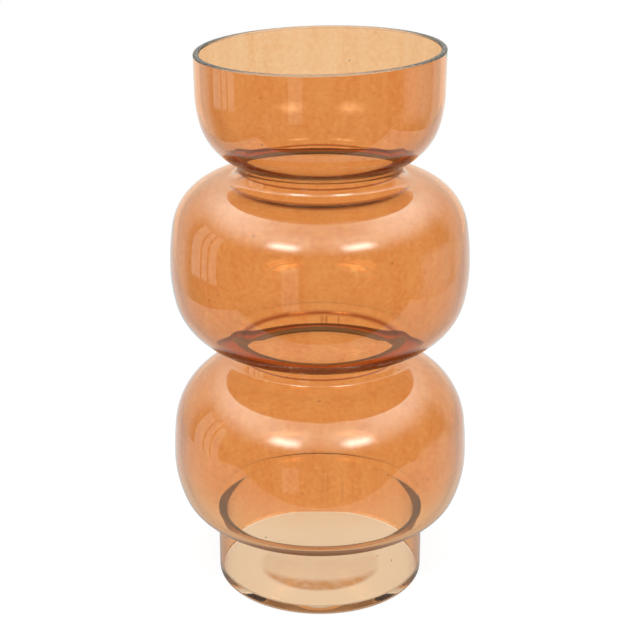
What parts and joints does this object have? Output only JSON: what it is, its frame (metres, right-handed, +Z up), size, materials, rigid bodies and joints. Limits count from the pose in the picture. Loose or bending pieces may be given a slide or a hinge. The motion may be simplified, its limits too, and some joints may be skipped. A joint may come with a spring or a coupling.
{
  "type": "gourd vase",
  "caption": "Tall gourd-shaped glass flower vase with a low foot, flattened bulbs joined by narrow necks and an open cup with a ground lip, amber outside.",
  "frame": {"origin": "on the axis of the vase, on the table that it stands on", "axes": "+Z up along the axis of the vase; -Y towards the viewer of the picture; +X to the viewer's right, where the slanted rim is highest"},
  "size_m": [0.1574, 0.1574, 0.2914],
  "materials": {
    "amber_glass": "clear glass under a thin, even, glossy amber lacquer on its outside",
    "clear_glass": "clear glass, fire polished, its underside bare"
  },
  "bodies": {
    "root": {"base": "clear_glass", "foot": "amber_glass", "lower_bulb": "amber_glass", "lower_neck": "amber_glass", "middle_bulb": "amber_glass", "upper_neck": "amber_glass", "cup": "amber_glass", "rim": "amber_glass"}
  },
  "joints": []
}
